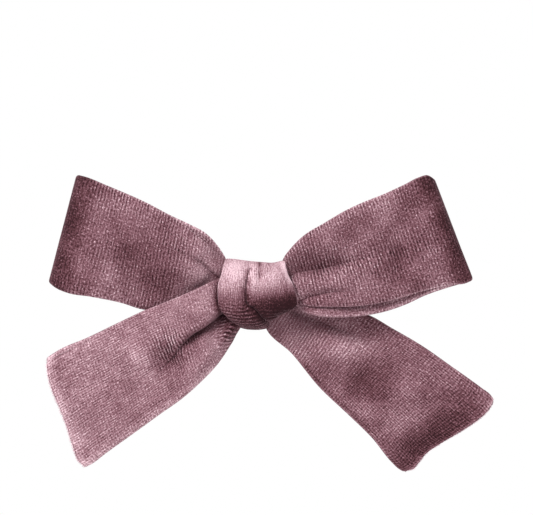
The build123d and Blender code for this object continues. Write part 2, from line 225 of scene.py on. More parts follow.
def strip(name, middle, across, lengths, pile, half=HALF_THICK, closed=False):
    """A closed piece of velvet round its middle surface, rounded along its two long edges.

    It is two layers of cloth, which part a little at a cut end. pile holds each point's tone, which carries
    painted shade and painted highlights, and how strongly its ribs and its wales show.
    """
    rows, cols = middle.shape[:2]
    from_edge = (1 - np.abs(across)) * STRIP_WIDTH / 2
    round_off = np.sqrt(1 - (1 - np.clip(from_edge / EDGE_ROUND, 0, 1)) ** 2)
    offset = surface_normals(middle, closed) * (half * round_off)[None, :, None]
    front, back = middle + offset, middle - offset
    inner = slice(1, -1)
    front_id = np.arange(rows * cols).reshape(rows, cols)
    back_id = front_id.copy()
    back_id[:, inner] = rows * cols + np.arange(rows * (cols - 2)).reshape(rows, cols - 2)
    verts = [front.reshape(-1, 3), back[:, inner].reshape(-1, 3)]
    values = [pile.reshape(-1, 3), pile[:, inner].reshape(-1, 3)]
    flat = np.zeros((rows, cols, 3))
    flat[..., 0] = lengths.reshape(rows, -1)
    flat[..., 1] = across * STRIP_WIDTH / 2
    places = [flat.reshape(-1, 3), flat[:, inner].reshape(-1, 3) + (0, 0, BACK_GRAIN)]
    last = rows if closed else rows - 1
    faces = []
    for ids in (front_id, back_id):
        a, b = ids[:last], np.roll(ids, -1, axis=0)[:last]
        quads = np.stack((a[:, :-1], b[:, :-1], b[:, 1:], a[:, 1:]), -1).reshape(-1, 4)
        faces += quads.tolist()
    if not closed:
        count = sum(len(v) for v in verts)
        slot_depth = SLOT_DEPTH * np.clip(from_edge / SLOT_CORNER, 0, 1)
        for row, way in ((0, -1), (rows - 1, 1)):
            outward = middle[row] - middle[row - way]
            outward /= np.linalg.norm(outward, axis=-1, keepdims=True)
            slot_id = front_id[row].copy()
            slot_id[inner] = count + np.arange(cols - 2)
            count += cols - 2
            verts.append((middle[row] - slot_depth[:, None] * outward)[inner])
            # painted shade: the gap between the two layers is made darker
            values.append(pile[row, inner] - (SLOT_PAINTED_SHADE, 0, 0))
            places.append(flat[row, inner] + (0, 0, SLOT_GRAIN))
            for lip in (front_id[row], back_id[row]):
                for j in range(cols - 1):
                    ring = (lip[j], lip[j + 1], slot_id[j + 1], slot_id[j])
                    faces.append(list(dict.fromkeys(int(v) for v in ring)))
    piece = new_object(name, np.concatenate(verts), faces, VELVET)
    add_values(piece, "flat_mm", np.concatenate(places))
    add_values(piece, "pile", np.concatenate(values))
    return piece


def add_values(piece, name, values):
    """Store three values at each point, for the material."""
    layer = piece.data.attributes.new(name, "FLOAT_VECTOR", "POINT")
    layer.data.foreach_set("vector", values.ravel())


def pile_values(tone, ribs, wales):
    """A strip's tone and line strengths, as one array."""
    return np.stack(np.broadcast_arrays(tone, ribs, wales), -1)


def between(bottom, top, shares, across):
    """Points seen from the front, between a bottom and a top edge, at shares of their lengths."""
    low, high = smooth_curve(bottom, shares), smooth_curve(top, shares)
    part = (across[None, :, None] + 1) / 2
    return low[:, None] * (1 - part) + high[:, None] * part


def at_least(depth, least):
    """A depth that levels off softly where it would fall below least."""
    return least + np.logaddexp(0, 3 * (depth - least)) / 3


def at_depth(flat, depth):
    """Row-frame points from their place seen from the front and their depth towards -Y."""
    return np.stack((flat[..., 0], -depth, flat[..., 1]), -1)


def row_lengths(middle):
    """The length along a strip's middle line at each of its rows."""
    return run_lengths(middle[:, middle.shape[1] // 2])


# ---- Materials ----


def new_material(name):
    material = bpy.data.materials.new(name)
    material.use_nodes = True
    tree = material.node_tree
    return material, tree, tree.nodes["Principled BSDF"]


def math_node(tree, operation, *values):
    node = tree.nodes.new("ShaderNodeMath")
    node.operation = operation
    for slot, value in enumerate(values):
        if isinstance(value, (int, float)):
            node.inputs[slot].default_value = value
        else:
            tree.links.new(value, node.inputs[slot])
    return node.outputs[0]


def noise_node(tree, vector, scale, detail=2.0, roughness=0.5):
    node = tree.nodes.new("ShaderNodeTexNoise")
    node.inputs["Scale"].default_value = scale
    node.inputs["Detail"].default_value = detail
    node.inputs["Roughness"].default_value = roughness
    tree.links.new(vector, node.inputs["Vector"])
    return node.outputs["Fac"]


def attribute_vector(tree, name):
    """The three values that add_values stored under name."""
    node = tree.nodes.new("ShaderNodeAttribute")
    node.attribute_name = name
    return node.outputs["Vector"]


def parts_of(tree, vector):
    node = tree.nodes.new("ShaderNodeSeparateXYZ")
    tree.links.new(vector, node.inputs[0])
    return node.outputs["X"], node.outputs["Y"], node.outputs["Z"]


def scaled(tree, vector, scale):
    node = tree.nodes.new("ShaderNodeMapping")
    node.inputs["Scale"].default_value = scale
    tree.links.new(vector, node.inputs["Vector"])
    return node.outputs[0]


def map_range(tree, value, low, high, top=1.0):
    """value, moved so that low gives 0 and high gives top."""
    node = tree.nodes.new("ShaderNodeMapRange")
    node.inputs["From Min"].default_value = low
    node.inputs["From Max"].default_value = high
    node.inputs["To Max"].default_value = top
    tree.links.new(value, node.inputs["Value"])
    return node.outputs[0]


def colour_ramp(tree, value, stops):
    ramp = tree.nodes.new("ShaderNodeValToRGB")
    elements = ramp.color_ramp.elements
    elements[0].position, elements[1].position = stops[0][0], stops[-1][0]
    for position, _ in stops[1:-1]:
        elements.new(position)
    for element, (_, colour) in zip(elements, stops):
        element.color = (*colour, 1)
    tree.links.new(value, ramp.inputs[0])
    return ramp.outputs[0]


def add_bump(tree, shader, height, distance):
    bump = tree.nodes.new("ShaderNodeBump")
    bump.inputs["Strength"].default_value = 0.9
    bump.inputs["Distance"].default_value = distance
    tree.links.new(height, bump.inputs["Height"])
    tree.links.new(bump.outputs[0], shader.inputs["Normal"])


def velvet_material():
    """Ribbed knit velvet with fine painted glints. Its tone at each point holds painted shade and painted
    highlights besides the cloth's own tone.
    """
    material, tree, shader = new_material("velvet")
    place = tree.nodes.new("ShaderNodeTexCoord").outputs["Object"]
    flat = attribute_vector(tree, "flat_mm")
    along, across, _ = parts_of(tree, flat)
    # the first value of pile is the tone, which holds painted shade and painted highlights besides the
    # cloth's own tone
    tone_with_painted_light, rib_strength, wale_strength = parts_of(tree, attribute_vector(tree, "pile"))
    wander = noise_node(tree, flat, 0.45, 2.0)

    def lines(coordinate, pitch, sway):
        moved = math_node(tree, "MULTIPLY_ADD", wander, sway, coordinate)
        angle = math_node(tree, "MULTIPLY", moved, 2 * math.pi / pitch)
        return math_node(tree, "SINE", angle)

    def broken(wave, size, strength):
        """Lines that fade out in places of that size, at the strip's own strength."""
        breaks = map_range(tree, noise_node(tree, flat, size, 1.0), 0.32, 0.56)
        shown = math_node(tree, "MULTIPLY", wave, breaks)
        return math_node(tree, "MULTIPLY", shown, strength)

    def centred(noise):
        return math_node(tree, "SUBTRACT", noise, 0.5)

    ribs = broken(lines(along, RIB_PITCH, 0.7), 0.8, rib_strength)
    wales = broken(lines(across, WALE_PITCH, 0.35), 0.9, wale_strength)
    grain = noise_node(tree, scaled(tree, flat, (1.6, 0.95, 1)), 1.9, 1.6, 0.6)
    fine = noise_node(tree, flat, 4.2, 1.0, 0.5)
    streaks = noise_node(tree, scaled(tree, flat, (0.38, 2.3, 1)), 1.3, 1.0)
    mottle = noise_node(tree, place, 210.0, 2.0, 0.5)
    cloud = noise_node(tree, place, 60.0, 1.5, 0.5)
    # painted glints: sparse bright dots of painted highlight in the base colour
    painted_glints = map_range(tree, noise_node(tree, flat, 2.3, 0.0), 0.64, 0.78, PAINTED_GLINT_TONE)

    # Where the wales show, there are streaks along them, less grain and fewer painted glints
    streaks = math_node(tree, "MULTIPLY", centred(streaks), wale_strength)
    calm = math_node(tree, "MULTIPLY_ADD", wale_strength, -0.55, 1.12)
    calm_grain = math_node(tree, "MULTIPLY", centred(grain), calm)
    tone = tone_with_painted_light
    for value, strength in (
        (ribs, RIB_TONE),
        (calm_grain, GRAIN_TONE),
        (wales, WALE_TONE),
        (streaks, STREAK_TONE),
        (centred(fine), FINE_TONE),
        (centred(mottle), MOTTLE_TONE),
        (centred(cloud), CLOUD_TONE),
        (painted_glints, calm),
    ):
        tone = math_node(tree, "MULTIPLY_ADD", value, strength, tone)

    tree.links.new(colour_ramp(tree, tone, VELVET_STOPS), shader.inputs["Base Color"])
    shader.inputs["Roughness"].default_value = 0.75
    shader.inputs["Specular IOR Level"].default_value = 0.05
    shader.inputs["Sheen Weight"].default_value = 0.26
    shader.inputs["Sheen Roughness"].default_value = 0.38
    shader.inputs["Sheen Tint"].default_value = (0.93, 0.56, 0.64, 1)

    height = math_node(tree, "MULTIPLY", ribs, RIB_HEIGHT)
    height = math_node(tree, "MULTIPLY_ADD", wales, WALE_HEIGHT, height)
    height = math_node(tree, "MULTIPLY_ADD", grain, GRAIN_HEIGHT, height)
    add_bump(tree, shader, height, MM)
    return material


def pile_material():
    """The loose tips of the pile at a cut end, paler than the cloth."""
    material, tree, shader = new_material("velvet_pile")
    place = tree.nodes.new("ShaderNodeNewGeometry").outputs["Position"]
    mottle = noise_node(tree, place, 900.0, 1.0)
    colour = colour_ramp(tree, mottle, ((0.3, (0.42, 0.22, 0.27)), (0.7, (0.80, 0.55, 0.61))))
    tree.links.new(colour, shader.inputs["Base Color"])
    shader.inputs["Roughness"].default_value = 0.8
    shader.inputs["Sheen Weight"].default_value = 0.4
    shader.inputs["Sheen Tint"].default_value = (0.95, 0.75, 0.8, 1)
    return material


def metal_material(name, colour, rough, brushed):
    """Nickel plate that is duller in fine lines along the clip, with faint darker stains."""
    material, tree, shader = new_material(name)
    place = tree.nodes.new("ShaderNodeTexCoord").outputs["Object"]
    lines = noise_node(tree, scaled(tree, place, (0.04, 1, 1)), 2600.0, 2.0, 0.5)
    stains = noise_node(tree, place, 130.0, 1.0, 0.5)
    rough_value = math_node(tree, "MULTIPLY_ADD", lines, brushed, rough)
    rough_value = math_node(tree, "MULTIPLY_ADD", stains, STAIN_ROUGH, rough_value)
    tree.links.new(rough_value, shader.inputs["Roughness"])
    stained = [STAIN_SHADE * c for c in colour]
    plate = colour_ramp(tree, stains, ((0.32, stained), (0.62, colour)))
    tree.links.new(plate, shader.inputs["Base Color"])
    shader.inputs["Metallic"].default_value = 1.0
    shader.inputs["Anisotropic"].default_value = 0.4
    return material


def felt_material():
    material, tree, shader = new_material("felt")
    place = tree.nodes.new("ShaderNodeTexCoord").outputs["Object"]
    fibres = noise_node(tree, place, 2300.0, 4.0, 0.75)
    cloud = noise_node(tree, place, 300.0, 2.0)
    tone = math_node(tree, "MULTIPLY_ADD", cloud, 0.5, fibres)
    colour = colour_ramp(tree, tone, ((0.45, (0.16, 0.07, 0.09)), (1.0, (0.46, 0.26, 0.31))))
    tree.links.new(colour, shader.inputs["Base Color"])
    shader.inputs["Roughness"].default_value = 0.95
    shader.inputs["Sheen Weight"].default_value = 0.35
    add_bump(tree, shader, fibres, 0.15 * MM)
    return material


def thread_material():
    material, tree, shader = new_material("thread")
    place = tree.nodes.new("ShaderNodeTexCoord").outputs["Object"]
    fibres = noise_node(tree, place, 5200.0, 2.0, 0.6)
    colour = colour_ramp(tree, fibres, ((0.3, (0.24, 0.11, 0.14)), (0.75, (0.60, 0.38, 0.44))))
    tree.links.new(colour, shader.inputs["Base Color"])
    shader.inputs["Roughness"].default_value = 0.55
    shader.inputs["Sheen Weight"].default_value = 0.3
    return material


# Velvet tones: 0 is dark and 1 is pale. They carry painted shade and painted highlights as well as the
# cloth's own uneven tone
VELVET_STOPS = (
    (0.0, (0.020, 0.006, 0.008)),
    (0.2, (0.060, 0.021, 0.026)),
    (0.4, (0.130, 0.055, 0.069)),
    (0.6, (0.236, 0.124, 0.148)),
    (0.8, (0.420, 0.266, 0.299)),
    (1.0, (0.700, 0.500, 0.550)),
)
RIB_TONE = 0.19
WALE_TONE = 0.155
STREAK_TONE = 0.55
GRAIN_TONE = 1.1
FINE_TONE = 0.38
MOTTLE_TONE = 0.35
CLOUD_TONE = 0.30
# how bright the painted glints are
PAINTED_GLINT_TONE = 0.30
RIB_HEIGHT = 0.075
WALE_HEIGHT = 0.03
GRAIN_HEIGHT = 0.30

# Nickel
STAIN_ROUGH = 0.10
STAIN_SHADE = 0.88

VELVET = velvet_material()
PILE = pile_material()
FELT = felt_material()
THREAD = thread_material()
BRIGHT_PLATE = metal_material("bright_nickel", (0.64, 0.625, 0.61), 0.17, 0.10)
SATIN_PLATE = metal_material("satin_nickel", (0.56, 0.56, 0.57), 0.26, 0.14)

# ---- Loops ----

CREASE_SHARE = 0.09  # of a loop's length from the front, where it turns over into its back layer
LOOP_ROWS = (190, 30, 100)  # front, turn and back
LOOP_WALES = 0.25
STRIP_COLUMNS = 96


def loop_rows(front_rows, turn_rows, back_rows):
    """For each row of a loop, its share of the way out and its turn from front, 0, to back, 1."""
    out = np.linspace(0, 1 - CREASE_SHARE, front_rows, endpoint=False)
    angle = np.linspace(0, math.pi, turn_rows)
    home = np.linspace(1 - CREASE_SHARE, 0, back_rows + 1)[1:]
    shares = np.concatenate((out, 1 - CREASE_SHARE + CREASE_SHARE * np.sin(angle), home))
    turns = np.concatenate((np.zeros(front_rows), (1 - np.cos(angle)) / 2, np.ones(back_rows)))
    return shares, turns


def loop_piece(name, front_edges, back_edges, front_depth, back_depth, painted_light_and_lines):
    """A loop, from two pairs of edges and two depth functions of (front-view points, share, across)."""
    across = columns(STRIP_COLUMNS)
    shares, turns = loop_rows(*LOOP_ROWS)
    front = between(*front_edges, shares, across)
    back = between(*back_edges, shares, across)
    grid = np.broadcast_to(shares[:, None], front.shape[:2])
    side = np.broadcast_to(across, front.shape[:2])
    turn = turns[:, None]
    flat = front * (1 - turn[..., None]) + back * turn[..., None]
    depth = front_depth(front, grid, side) * (1 - turn) + back_depth(back, grid, side) * turn
    middle = at_depth(flat, depth)
    return strip(name, middle, across, row_lengths(middle), painted_light_and_lines(flat, grid, side, turn))


def left_loop():
    """The left loop. The left tail lies in front of its lower edge, near the knot."""
    front_edges = (
        [(-2.4, 3.0), (-6.2, 2.2), (-10, 0.4), (-16, -2.2), (-24.0, -4.0), (-28.2, -3.8), (-33.3, -2.2),
         (-40.9, -0.6), (-46.3, 0.25), (-49.6, 1.6), (-50.8, 2.5)],
        [(-2.4, 5.6), (-6.6, 6.4), (-8.6, 8.3), (-10.9, 10.9), (-13.9, 13.5), (-17.4, 16.4),
         (-21.2, 19.0), (-27.3, 22.4), (-37.6, 26.9), (-42.0, 28.8), (-43.8, 29.3)],
    )
    back_edges = (
        front_edges[0],
        [(-2.4, 5.9), (-6.9, 7.2), (-8.0, 9.3), (-9.8, 12.0), (-12.7, 15.0), (-16.9, 17.3),
         (-21.2, 19.3), (-27.3, 22.5), (-37.6, 27.0), (-42.0, 28.8), (-43.8, 29.3)],
    )
    main_fold = [(-8.2, 3.8), (-9.9, 4.9), (-13.9, 8.4)]
    upper_fold = [(-6.5, 6.2), (-9.2, 8.6), (-12.4, 11.9), (-16.5, 14.6)]
    lower_fold = [(-7.5, 2.4), (-12.5, 2.4), (-19, 1.0)]
    clear_of_back = 9.0

    def front_depth(flat, share, side):
        depth = table_value([(0, 10.6), (0.17, 11.2), (0.3, 13.0), (0.6, 14.0), (1, 13.4)], share)
        behind_tail = 1 - smooth_step(0.5, 0.8, share)
        depth -= 3.3 * behind_tail * smooth_step(0.15, -0.7, side)
        depth -= 0.9 * np.abs(side) ** 6
        depth += valley(flat, [*main_fold, (-18, 10.2)], 2.3, 0.35, 2.2, 0.35)
        depth += valley(flat, upper_fold, 0.8, 0.5, 0.8, 0.3)
        depth += valley(flat, lower_fold, 1.3, 1.6, 1.2, 0.3)
        depth += 0.7 * patch(flat, (-13.5, 11.0), 2.4, (1.3, 0.8))
        depth -= 1.2 * patch(flat, (-31, 9), 7, (1, 1.2))
        depth += 0.5 * patch(flat, (-22, 12), 5)
        depth += 0.22 * ripple(flat, 7, SEED + 1) * smooth_step(0.12, 0.3, share)
        return at_least(depth, clear_of_back)

    def back_depth(flat, share, side):
        depth = table_value([(0, 6.9), (0.17, 6.7), (0.3, 6.4), (0.6, 6.0), (1, 6.4)], share)
        depth += 0.9 * np.abs(side) ** 6 * smooth_step(0.1, 0.5, share)
        depth -= valley(flat, [(-7.0, 4.0), (-12, 5.0), (-20, 6.6)], 0.7, 1.6, 1.6, 0.3)
        depth -= valley(flat, [(-7.0, 5.4), (-12, 9.6), (-19, 13.0)], 0.5, 1.2, 1.2, 0.3)
        depth += 0.2 * ripple(flat, 8, SEED + 2) * smooth_step(0.12, 0.3, share)
        return depth

    # The tone holds painted light: painted shade where the loop turns over at its end, in its middle dimple
    # and along its main fold; painted highlights on the rolls and slopes beside that fold and along its long
    # edges.
    def painted_light_and_lines(flat, share, side, turn):
        # painted shade where the loop turns over at its end
        tone = 0.45 - 0.06 * smooth_step(0.75, 0.92, share) - 0.25 * smooth_step(0.87, 0.98, share)
        # painted shade in the dimple
        tone -= 0.19 * patch(flat, (-28, 8), 6.5, (1.1, 1.2))
        # painted highlights on the rolls and on the slope below the main fold, painted shade along that fold
        tone += 0.07 * patch(flat, (-15, 13.2), 2.6, (1.6, 1))
        tone += 0.22 * patch(flat, (-14.0, 5.0), 3.4, (1.3, 0.9))
        tone += 0.16 * patch(flat, (-12.0, 10.4), 2.4, (1.4, 1))
        tone += valley(flat, [*main_fold, (-17, 10.0)], 0.34, 0.15, 0.6, 0.3)
        tone += 0.12 * turn * smooth_step(0.7, 0.95, side)
        tone += 0.07 * patch(flat, (-37, 6), 6) + 0.05 * patch(flat, (-24, 16), 7)
        tone += 0.05 * patch(flat, (-18, 2), 5)
        # painted highlight along the long edges
        tone += 0.17 * smooth_step(0.93, 1.0, np.abs(side)) * smooth_step(1.0, 0.85, share)
        tone += 0.03 * ripple(flat, 5, SEED + 3)
        ribs = 0.6 + 0.3 * ripple(flat, 9, SEED + 12)
        ribs += 0.4 * patch(flat, (-25, 5), 7) + 0.4 * np.abs(side) ** 6
        ribs = np.clip(ribs * (1 - 0.6 * smooth_step(0.85, 0.98, share)), 0.3, 1.6)
        return pile_values(tone, ribs, LOOP_WALES)

    return loop_piece("velvet_left_loop", front_edges, back_edges, front_depth, back_depth, painted_light_and_lines)


def right_loop():
    """The right loop. Its back layer hangs lower than its front one and shows below it."""
    front_edges = (
        [(2.4, -1.6), (6.6, -1.4), (9.9, -2.4), (14.0, -3.0), (18.3, -3.1), (27.7, -2.6),
         (34.6, -1.1), (41.5, 1.0), (48.0, 2.3), (51.5, 2.7), (52.6, 3.2)],
        [(2.4, 5.4), (6.2, 7.2), (7.4, 9.7), (9.3, 12.1), (12.0, 14.6), (16.5, 17.4), (21.7, 20.5),
         (26.2, 22.6), (31.0, 24.5), (36.2, 26.9), (39.8, 28.7), (41.8, 29.2), (43.0, 28.4)],
    )
    back_edges = (
        [(2.4, -2.0), (6.6, -2.1), (9.9, -2.9), (11.6, -4.4), (15.6, -5.5), (20.7, -5.7), (27.7, -5.1),
         (31.1, -4.4), (36.3, -2.7), (41.5, -0.3), (47.0, 1.6), (52.6, 3.2)],
        front_edges[1],
    )
    main_fold = [(10.4, 4.9), (17, 6.0), (23.5, 7.8)]
    lower_fold = [(9.9, -1.5), (13.0, -0.3), (16.2, 0.5)]

    def front_depth(flat, share, side):
        depth = table_value([(0, 10.6), (0.14, 11.2), (0.26, 13.0), (0.6, 14.3), (1, 13.6)], share)
        depth -= 0.9 * np.abs(side) ** 6
        depth += valley(flat, [(6.8, 3.8), *main_fold, (30, 9.8)], 3.2, 4.4, 0.7, 0.45)
        depth += valley(flat, [(7.5, -1.9), *lower_fold, (24, 1.0)], 1.7, 0.5, 1.2, 0.45)
        depth += 0.9 * patch(flat, (14, 12.0), 4.0, (1.5, 0.7))
        depth += 0.7 * patch(flat, (16, 2.9), 4.0, (1.8, 0.5))
        depth -= 1.3 * patch(flat, (34.8, 8), 5.5, (0.7, 1.2))
        depth += 0.22 * ripple(flat, 7, SEED + 4) * smooth_step(0.12, 0.3, share)
        return depth

    def back_depth(flat, share, side):
        depth = table_value([(0, 8.0), (0.14, 8.2), (0.26, 7.9), (0.6, 7.0), (1, 7.2)], share)
        depth += 0.8 * np.abs(side) ** 6
        depth += 3.9 * smooth_step(-0.3, -0.9, side) * smooth_step(0.08, 0.34, share)
        depth -= valley(flat, [(7.0, 3.0), (14, 4.4), (24, 7.4)], 0.9, 1.5, 1.5, 0.3)
        depth -= valley(flat, [(7.0, 6.0), (12, 10.0), (21, 13.4)], 0.8, 1.2, 1.2, 0.3)
        depth += 0.18 * ripple(flat, 8, SEED + 5) * smooth_step(0.12, 0.3, share)
        return depth

    # The tone holds painted light: painted shade where the loop turns over at its end, in its dimple, in the
    # hollow above its main fold and along its folds; painted light on the back layer's lower lip, which the
    # front layer shades; painted highlights on the roll below the main fold and along its edges.
    def painted_light_and_lines(flat, share, side, turn):
        # painted shade where the loop turns over at its end
        tone = 0.42 - 0.04 * smooth_step(0.75, 0.92, share) - 0.23 * smooth_step(0.87, 0.98, share)
        # painted light on the back layer's lower lip, in the front layer's shade
        tone += turn * smooth_step(-0.5, -0.8, side) * (0.05 + 0.09 * smooth_step(0.3, 0.5, share))
        # painted shade in the dimple and in the hollow above the main fold
        tone -= 0.17 * patch(flat, (34.8, 8), 5.0, (0.8, 1.3))
        tone -= 0.09 * patch(flat, (16, 8.5), 4.5, (1.7, 0.8))
        # painted shade along the folds, and a painted highlight on the roll below the main fold
        tone += valley(flat, [(7.2, 4.1), *main_fold, (28, 9.4)], 0.14, 0.9, 0.2, 0.5)
        tone += valley(flat, [(8.5, -1.9), *lower_fold], 0.30, 0.2, 0.5, 0.5)
        tone += 0.06 * patch(flat, (18, 2.6), 5.5, (1.8, 0.6)) + 0.03 * patch(flat, (38, 16), 6)
        # painted highlights along the edges
        tone += 0.17 * smooth_step(0.93, 1.0, np.abs(side))
        tone += 0.10 * smooth_step(0.70, 0.95, side) * smooth_step(0.95, 0.75, share) * (1 - turn)
        tone += 0.12 * smooth_step(-0.93, -0.98, side) * smooth_step(0.5, 0.7, share) * (1 - turn)
        tone += 0.03 * ripple(flat, 5, SEED + 6)
        ribs = 0.72 + 0.3 * ripple(flat, 9, SEED + 13) + 0.5 * np.abs(side) ** 4
        ribs += 0.55 * patch(flat, (17, 7.5), 6, (1.6, 0.7)) + 0.3 * patch(flat, (33, 9), 5)
        ribs = np.clip(ribs, 0.3, 1.9) * (1 - 0.6 * turn) * (1 - 0.6 * smooth_step(0.87, 0.98, share))
        return pile_values(tone, ribs, LOOP_WALES)

    return loop_piece("velvet_right_loop", front_edges, back_edges, front_depth, back_depth, painted_light_and_lines)


# ---- Tails ----

TAIL_ROWS = 210
END_FROM = 0.72  # the share of a tail's length where its cut end begins to stand out


def tail_piece(name, bottom, top, end_curve, depth_of, painted_light_and_lines, level_ribs=None):
    """A tail, whose cut end stands out by end_curve, a table of (across, millimetres).

    level_ribs is a (centre, size) where the gathered cloth turns, so that its ribs run level.
    """
    across = columns(STRIP_COLUMNS)
    shares = np.linspace(0, 1, TAIL_ROWS)
    flat = between(bottom, top, shares, across)
    chord = (flat[-1, -1] - flat[-1, 0]) / np.linalg.norm(flat[-1, -1] - flat[-1, 0])
    way = np.array((-chord[1], chord[0]))
    way *= np.sign(way @ (flat[-1, len(across) // 2] - flat[-12, len(across) // 2]))
    reach = smooth_step(END_FROM, 1, shares)[:, None] * table_value(end_curve, across)[None]
    flat = flat + reach[..., None] * way
    grid = np.broadcast_to(shares[:, None], flat.shape[:2])
    side = np.broadcast_to(across, flat.shape[:2])
    middle = at_depth(flat, depth_of(flat, grid, side))
    lengths = np.repeat(row_lengths(middle)[:, None], len(across), axis=1)
    if level_ribs:
        centre, size = level_ribs
        level = smooth_step(0.08, 0.4, patch(flat, centre, size, (1, 1.4)))
        down = centre[1] - flat[..., 1] + 0.15 * (flat[..., 0] - centre[0])
        at_centre = np.linalg.norm(flat - np.array(centre), axis=-1).argmin()
        lengths += level * (lengths.ravel()[at_centre] + down - lengths)
    return strip(name, middle, across, lengths, painted_light_and_lines(flat, grid, side)), middle


def left_tail():
    """The left tail. Its upper half overlaps its lower one in a long fold that ends in a dimple."""
    bottom = [(-2.2, -5.7), (-3.6, -7.4), (-4.6, -9.2), (-6.6, -12.3), (-9.9, -17.3), (-13.9, -21.6),
              (-18.2, -25.5), (-23.8, -29.5), (-29.7, -33.8), (-37, -39.1), (-41.0, -42.1), (-42.2, -42.7)]
    top = [(-2.2, 3.2), (-6.5, 4.4), (-9.8, 3.5), (-15.1, 1.1), (-21.0, -1.4), (-27.4, -3.9), (-32.3, -6.2),
           (-41.9, -10.8), (-48.8, -13.8), (-51.6, -15.6)]
    end_curve = [(-1, 0), (-0.9, 0.9), (-0.6, 1.3), (-0.27, 1.1), (0.09, 1.2), (0.5, 1.5), (0.85, 0.8),
                 (1, 0)]
    overlap = [(-6.6, -3.0), (-9.2, -4.7), (-12.9, -7.6), (-16.0, -9.5), (-18.0, -11.2), (-20.2, -14.0)]
    corner_fold = [(-41.0, -11.9), (-45, -13.6), (-50.6, -16.4)]
    gathered = (-7.0, -10.2), 4.0

    def depth_of(flat, share, side):
        depth = table_value([(0, 10.2), (0.12, 11.0), (0.26, 12.9), (0.5, 12.0), (0.8, 9.6), (1, 8.4)], share)
        depth -= 0.8 * np.abs(side) ** 8
        depth += valley(flat, overlap, 4.2, 0.22, 3.0, 0.62)
        depth -= 2.3 * patch(flat, (-20.8, -16.0), 3.5, (1.1, 0.95))
        depth += 0.8 * patch(flat, (-13.2, -4.4), 3.2, (1.6, 0.7))
        depth += 0.9 * patch(flat, (-12.0, -11.0), 2.2, (0.9, 1.4))
        near_knot = smooth_step(0.02, 0.14, share) * smooth_step(0.46, 0.16, share)
        depth -= 4.2 * smooth_step(-0.6, -0.96, side) * near_knot
        depth += 1.0 * patch(flat, (-29, -14), 4.5)
        depth += valley(flat, corner_fold, 0.45, 0.35, 0.25, 1.0)
        depth += 0.2 * ripple(flat, 9, SEED + 7) * smooth_step(0.15, 0.35, share)
        depth += 0.5 * smooth_step(0.75, 1, share) * np.sin(3.4 * side + 0.6)
        return depth

    # The tone holds painted light: painted highlights on its bumps and along its long edges, painted shade in
    # its dimple and under its overlapping fold, painted shade under the knot and the knot's painted shadow
    # beside its left edge, and painted light where the knot shades its root.
    def painted_light_and_lines(flat, share, side):
        tone = 0.555 + 0.02 * ripple(flat, 6, SEED + 8)
        # painted highlight on the bump, painted shade in the dimple
        tone += 0.10 * patch(flat, (-29.3, -14), 4) - 0.26 * patch(flat, (-20.8, -15.6), 3.7, (1.2, 0.95))
        # painted shade under the overlapping fold
        tone += valley(flat, overlap, 0.62, 0.25, 1.6, 0.7)
        # painted highlight on a bump, and painted light near the knot
        tone += 0.08 * patch(flat, (-11.0, -10.0), 2.2, (0.8, 1.8)) + 0.20 * patch(flat, (-10.0, -6.9), 1.6)
        # painted highlights along the long edges; paler at the cut end
        low_edge = smooth_step(0.76, 1.0, -side) * smooth_step(0.12, 0.3, share)
        high_edge = smooth_step(0.92 - 0.2 * smooth_step(0.6, 0.8, share), 1.0, side)
        edge = low_edge + 0.7 * high_edge
        tone += 0.20 * edge + 0.18 * smooth_step(0.94, 1.0, share)
        # painted shade under the knot, and the knot's painted shadow beside its left edge
        tone -= 0.34 * patch(flat, (-6.0, -9.8), 3.0, (0.75, 1.5))
        tone -= 0.58 * patch(flat, (-9.6, -1.3), 1.25, (0.75, 2.9))
        ribs = 0.38 + 1.2 * patch(flat, (-21, -14.5), 3.8, (1.3, 1))
        ribs += 1.6 * patch(flat, (-6.6, -10.4), 2.8, (0.9, 1.4))
        ribs += 1.2 * patch(flat, (-21, -11.2), 2.6, (1.4, 1))
        wales = (0.25 + 0.65 * smooth_step(0.25, 0.55, share)) * (1 - 0.6 * edge)
        return pile_values(tone, ribs, wales)

    return tail_piece("velvet_left_tail", bottom, top, end_curve, depth_of, painted_light_and_lines, gathered)


